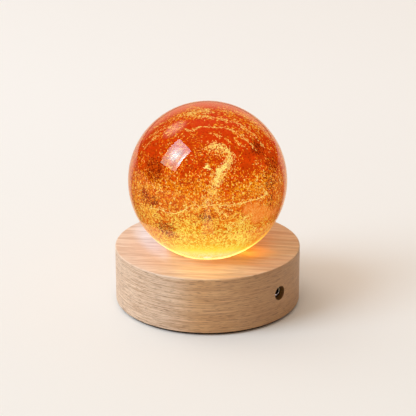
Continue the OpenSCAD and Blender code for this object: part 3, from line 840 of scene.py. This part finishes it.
def nickel_material():
    """Plating with a painted highlight on the liner's rim, brightest below, and painted shade that darkens
    its bore.
    """
    made, t, shader, _ = material("nickel_plate")
    place = t.millimetres()
    marks = t.effect(SCRATCHES, "Scratch", Vector=place, Scale=4)
    inward = t.vector("SUBTRACT", place, (0, 0, JACK_Z))
    below = t.along(inward, (0, 0, -1))
    # A painted highlight makes the plating paler and bluer towards the bottom
    tone = t.mix(t.steps(below, -0.5, 1.8), colour(206, 190, 150), colour(255, 246, 255))
    tone = t.mix(t.product(marks, 0.3), tone, colour(206, 200, 190))
    # Painted shade darkens the bore
    off_axis = t.vector("LENGTH", t.vector("MULTIPLY", inward, (0, 1, 1)), out="Value")
    tone = t.mix(t.steps(off_axis, 1.9, 1.8), tone, colour(40, 32, 32))
    surface(t, shader, tone, t.steps(marks, 0, 1, 0.2, 0.36), t.bump(marks, 0.5, 0.005 * MM))
    t.set(shader.inputs["Metallic"], 1)
    return made


def board_material(name, mask, copper, gap):
    """Solder mask over copper areas, which thin lines part."""
    made, t, shader, _ = material(name)
    place = t.millimetres()
    lines = t.cells(place, 0.22, feature="DISTANCE_TO_EDGE")
    over = t.steps(lines, 0.02, 0.05)
    cloud = t.effect(MOTTLE, "Cloud", Vector=place, Scale=0.5)
    tone = t.mix(over, colour(*gap), t.mix(cloud, colour(*copper), colour(*mask)))
    relief = t.maths("ADD", over, t.effect(PEBBLE, "Height", Vector=place, Scale=3))
    surface(t, shader, tone, t.steps(cloud, 0, 1, 0.25, 0.4), t.bump(relief, 0.4, 0.03 * MM))
    return made


def foam_material():
    """Foamed rubber with open cells."""
    made, t, shader, _ = material("foot_foam")
    place = t.millimetres()
    cells = t.cells(place, 1.6)
    cloud = t.effect(MOTTLE, "Cloud", Vector=place, Scale=0.08)
    walls = t.mix(cloud, colour(48, 44, 41), colour(60, 56, 52))
    tone = t.mix(t.steps(cells, 0.1, 0.6), colour(20, 18, 17), walls)
    surface(t, shader, tone, t.steps(cloud, 0, 1, 0.85, 0.95), t.bump(cells, 0.8, 0.25 * MM))
    return made


# The LEDs on the board: one in the middle and a ring of them, in millimetres
LED_RING_R = 8
LED_RING_COUNT = 6
LENS_GLOW, PHOSPHOR_GLOW = 1.1, 1.5


def over_leds(t, place, reach):
    """A mask that is 1 over each LED and fades with the distance from it in mm."""
    flat = t.vector("MULTIPLY", place, (1, 1, 0))
    total = t.steps(t.vector("LENGTH", flat, out="Value"), 0, reach, 1, 0)
    for i in range(LED_RING_COUNT):
        turn = 2 * math.pi * (i + 0.5) / LED_RING_COUNT
        led = (LED_RING_R * math.cos(turn), LED_RING_R * math.sin(turn), 0)
        away = t.vector("DISTANCE", flat, led, out="Value")
        total = t.maths("MAXIMUM", total, t.steps(away, 0, reach, 1, 0))
    return total


def lens_material():
    """Frosted plastic that the LEDs behind it light in soft spots."""
    made, t, shader, _ = material("frosted_lens")
    place = t.millimetres()
    frost = t.effect(PEBBLE, "Height", Vector=place, Scale=3)
    tone = t.mix(frost, colour(238, 232, 216), colour(248, 245, 236))
    surface(t, shader, tone, t.steps(frost, 0.2, 1.2, 0.5, 0.7), t.bump(frost, 0.4, 0.03 * MM))
    spots = over_leds(t, place, 5.5)
    t.set(shader.inputs["Emission Color"], t.mix(spots, colour(214, 150, 70), colour(255, 244, 204)))
    t.set(shader.inputs["Emission Strength"], LENS_GLOW)
    return made


def phosphor_material():
    """The yellow filling of an LED, lit."""
    made, t, shader, _ = material("led_phosphor")
    place = t.millimetres()
    grains = t.effect(PEBBLE, "Height", Vector=place, Scale=8)
    tone = t.mix(grains, colour(226, 178, 40), colour(248, 214, 84))
    surface(t, shader, tone, t.steps(grains, 0.2, 1.2, 0.3, 0.5), t.bump(grains, 0.4, 0.02 * MM))
    t.set(shader.inputs["Emission Color"], t.mix(grains, colour(255, 206, 110), colour(255, 238, 180)))
    t.set(shader.inputs["Emission Strength"], PHOSPHOR_GLOW)
    return made


# Studio

FLOOR_SIZE = 6
FLOOR_NEAR, FLOOR_FAR, FLOOR_MIRRORED = colour(238, 238, 238), colour(246, 246, 248), colour(243, 229, 202)
SOFTBOX_DISTANCE = 3.2
GLOW_DISTANCE = 0.5
SKY_TINT, BACKDROP_TINT = (1, 0.83, 0.66, 1), (1, 0.78, 0.5, 1)


def mirrored(t):
    """1 for what the ball's polished surface mirrors."""
    rays = t.nodes.new("ShaderNodeLightPath")
    return t.product(rays.outputs["Is Glossy Ray"], rays.outputs["Is Singular Ray"])


def floor():
    """A plain pale floor, with painted light that makes it a little paler far behind the lamp."""
    bpy.ops.mesh.primitive_plane_add(size=FLOOR_SIZE)
    piece = bpy.context.object
    piece.name = "floor"
    made, t, shader, _ = material("floor")
    place = t.add("TexCoord", out="Object")
    away = t.along(place, -NEAR)
    # Painted light: the floor is paler far behind the lamp
    tone = t.mix(t.steps(away, -0.15, 0.4), FLOOR_NEAR, FLOOR_FAR)
    # In the glass it shows the warm light that the ball throws on it
    tone = t.mix(mirrored(t), tone, FLOOR_MIRRORED)
    # Painted reflection: in the glass the floor is painted black at the sides, as black cards beside the
    # glass would hide it, but for what lies far behind it
    side = t.maths("ABSOLUTE", t.along(place, RIGHT))
    aside = t.maths("DIVIDE", side, t.maths("MAXIMUM", away, 0.01))
    dark_in_glass = t.product(mirrored(t), t.steps(aside, 0.8, 1.25, 0.05, 0.92))
    t.set(shader.inputs["Base Color"], t.mix(dark_in_glass, tone, BLACK))
    t.set(shader.inputs["Roughness"], 0.8)
    piece.data.materials.append(made)


def softbox(name, azimuth, elevation, turn, size, radiance, tint):
    """A rectangular softbox that faces the globe; its angles are in degrees."""
    width, height = size
    data = bpy.data.lights.new(name, "AREA")
    data.shape, data.size, data.size_y = "RECTANGLE", width, height
    data.energy = radiance * math.pi * width * height
    data.color = tint
    made = linked(name, data)
    way = aim(VIEW_AZIMUTH + math.radians(azimuth), math.radians(elevation))
    facing = look_along(-way, FRONT) @ Matrix.Rotation(math.radians(turn), 4, "Z")
    made.matrix_world = Matrix.Translation(GLOBE_CENTRE + way * SOFTBOX_DISTANCE) @ facing
    return made


def softbox_face(box, middle, edges, reach, lower):
    """What the ball mirrors of a softbox: its lit cloth, of one colour in its middle and one at each end."""
    name = box.name + "_face"
    bpy.ops.object.select_all(action="DESELECT")
    bpy.ops.mesh.primitive_plane_add(size=1)
    piece = bpy.context.object
    piece.name = name
    place = Matrix.Translation((0, 0, -0.01)) @ Matrix.Diagonal((box.data.size, box.data.size_y, 1, 1))
    piece.matrix_world = box.matrix_world @ place
    bpy.ops.object.transform_apply(location=True, rotation=True, scale=True)
    made, t, _, output = material(name)
    across = t.add("TexCoord", out="UV")
    away = t.vector("DISTANCE", across, (0.5, 0.5, 0), out="Value")
    along = t.along(across, (0, 1, 0))
    sideways = t.along(across, (1, 0, 0))
    cloth = t.steps(t.noise(across, 7, 3, 0.7), 0.35, 0.65, 0.6, 1.15)
    share = t.product(t.steps(away, 0.02, reach, 1, 0), cloth)
    middle_way = t.maths("ABSOLUTE", t.maths("SUBTRACT", sideways, 0.48))
    strip = t.product(t.steps(along, 0.78, 0.96, 0, lower), t.steps(middle_way, 0.12, 0.4, 1, 0))
    share = t.maths("MAXIMUM", share, strip)
    edge = t.mix(t.steps(sideways, 0.1, 0.9), (*edges[0], 1), (*edges[1], 1))
    glow = t.add("Emission", {"Color": t.mix(share, edge, (*middle, 1)), "Strength": 1})
    clear = t.add("BsdfTransparent")
    t.set(output.inputs["Surface"], t.add("MixShader", {0: mirrored(t), 1: clear, 2: glow}))
    piece.data.materials.append(made)
    piece.visible_camera = False
    piece.visible_diffuse = False
    piece.visible_transmission = False
    piece.visible_shadow = False


def on_wood(right, near):
    """A place on top of the base, in metres right and near in the view."""
    return right * RIGHT + near * NEAR + Vector((0, 0, BASE_TOP))


def glow(name, spot, azimuth, elevation, width, radiance, tint, glints=False):
    """Light that the ball gathers in a soft spot; its lamp isn't seen, but may glint on metal."""
    data = bpy.data.lights.new(name, "SPOT")
    data.shadow_soft_size = 0.002
    data.spot_size = 2 * math.atan(width / 2 / GLOW_DISTANCE)
    data.spot_blend = 1
    data.energy = radiance * 4 * math.pi ** 2 * GLOW_DISTANCE ** 2
    data.color = tint
    made = linked(name, data)
    way = aim(VIEW_AZIMUTH + math.radians(azimuth), math.radians(elevation))
    made.matrix_world = Matrix.Translation(spot + way * GLOW_DISTANCE) @ look_along(-way)
    made.visible_camera = False
    made.visible_glossy = glints
    made.visible_transmission = False


def world():
    """Soft light from all round, and what the ball mirrors of the backdrop."""
    made = bpy.data.worlds.new("studio")
    bpy.context.scene.world = made
    made.use_nodes = True
    t = Tree(made.node_tree)
    background = made.node_tree.nodes["Background"]
    # Bright overhead, on the left and behind the lamp, dim on the right and where the camera stands
    way = t.add("TexCoord", out="Generated")
    front = t.along(way, NEAR)
    left = t.along(way, -RIGHT)
    above = t.along(way, (0, 0, 1))
    level = t.maths("SUBTRACT", t.steps(above, 0.1, 1, 0.34, 1.14), t.steps(front, -0.6, 0.9, 0, 0.22))
    level = t.maths("ADD", level, t.steps(left, -0.8, 1, -0.22, 0.22))
    # The ball mirrors little more than the backdrop behind it
    backdrop = t.product(t.steps(above, -0.05, 0.1), t.steps(front, -0.76, -0.94, 0.03, 0.85))
    t.set(background.inputs["Color"], t.mix(mirrored(t), SKY_TINT, BACKDROP_TINT))
    t.set(background.inputs["Strength"], t.mix_value(mirrored(t), level, backdrop))


# The scene, put together

# Softboxes: azimuth from the view, elevation and turn in degrees, width and height in metres,
# radiance and tint
KEY = (-68.3, 42.1, -1, (2.03, 1.7), 5.6, (0.66, 0.85, 1))
FILL = (-129, 47, 0, (1.9, 1.7), 0.9, (0.9, 0.95, 1))
# Soft spots on the wood's top: metres right and near of the axis, azimuth from the view and
# elevation in degrees, width in metres, radiance and tint
GLOWS = {
    "orange_glow": ((0.0225, 0.0115), 80, 38, 0.019, 0.8, (1, 0.54, 0.06)),
    "gold_glow": ((0.0195, 0.0135), 60, 36, 0.009, 0.9, (1, 0.64, 0.12)),
    "front_glow": ((-0.002, 0.034), 0, 75, 0.034, 0.28, (1, 0.7, 0.14)),
    "violet_glow": ((-0.0265, -0.002), -160, 18, 0.020, 2.4, (0.02, 0.46, 1)),
    "pale_glow": ((0.032, 0.006), 80, 60, 0.040, 0.13, (0.5, 1, 0.85)),
}
# The foot of the jack's ring
RING_FOOT = Vector((0.045, 0, 0.0142))

camera()
world()
floor()
key = softbox("key", *KEY)
softbox_face(key, middle=(4.3, 12.4, 13.3), edges=((2.6, 3.9, 4.3), (2.4, 3.1, 2.3)), reach=0.40, lower=0.95)
fill = softbox("fill", *FILL)
softbox_face(fill, middle=(2.6, 2.9, 2.1), edges=((0, 0, 0), (0, 0, 0)), reach=0.48, lower=0)
for name, (spot, *light) in GLOWS.items():
    glow(name, on_wood(*spot), *light)
glow("ring_glint", RING_FOOT, 99, 20, 0.005, 0.2, (0.92, 0.84, 1), glints=True)


def dress(piece, made):
    """Gives a piece one material."""
    piece.data.materials.clear()
    piece.data.materials.append(made)


def add_to_globe(piece, made, slot, *replaced):
    """Dresses a new piece of the globe and lets it ride with it."""
    dress(piece, made)
    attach(piece, "globe")
    if replaced:
        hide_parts(*replaced)


casing = smooth_ball("globe_casing", GLOBE_R, CASING_CUTS)
add_to_globe(casing, casing_material(), "clear_glass", "glass_casing")
add_to_globe(ember_core(), ember_material(), "ember_glass", "ember_core")
gold_threads = loose_threads("gold_threads", GOLD_COUNT, GOLD_SEED, GOLD_FROM, DARK)
add_to_globe(gold_threads, thread_material("gold_thread", 0, True), "ember_glass")
umber_threads = loose_threads("umber_threads", UMBER_COUNT, UMBER_SEED, UMBER_FROM, [])
add_to_globe(umber_threads, umber_material(), "ember_glass")
line_draw = random.Random(LINE_SEED)
for name, (guide, count, spread_mm, thickness_mm, paleness) in LINES.items():
    made = thread_material(name + "_gold", paleness, False)
    add_to_globe(guided_threads(name + "_threads", guide, count, spread_mm, line_draw), made, "ember_glass")
    if thickness_mm:
        add_to_globe(strand(name + "_strand", guide, thickness_mm, line_draw), made, "ember_glass")

slot_finish = {slot: finish(slot, *values) for slot, values in FINISHES.items()}
slot_finish["turned_wood"] = wood_material()
slot_finish["nickel_plate"] = nickel_material()
slot_finish["board_white"] = board_material("board_white", (240, 240, 234), (228, 228, 220), (206, 206, 198))
slot_finish["board_green"] = board_material("board_green", (26, 92, 56), (20, 74, 46), (12, 48, 32))
slot_finish["foot_foam"] = foam_material()
slot_finish["frosted_lens"] = lens_material()
slot_finish["led_phosphor"] = phosphor_material()
for subpart in frame["record"]["subparts"]:
    if subpart["material_slot"] in slot_finish:
        dress(nodes[subpart["node"]], slot_finish[subpart["material_slot"]])

bpy.context.scene.view_settings.view_transform = "Standard"
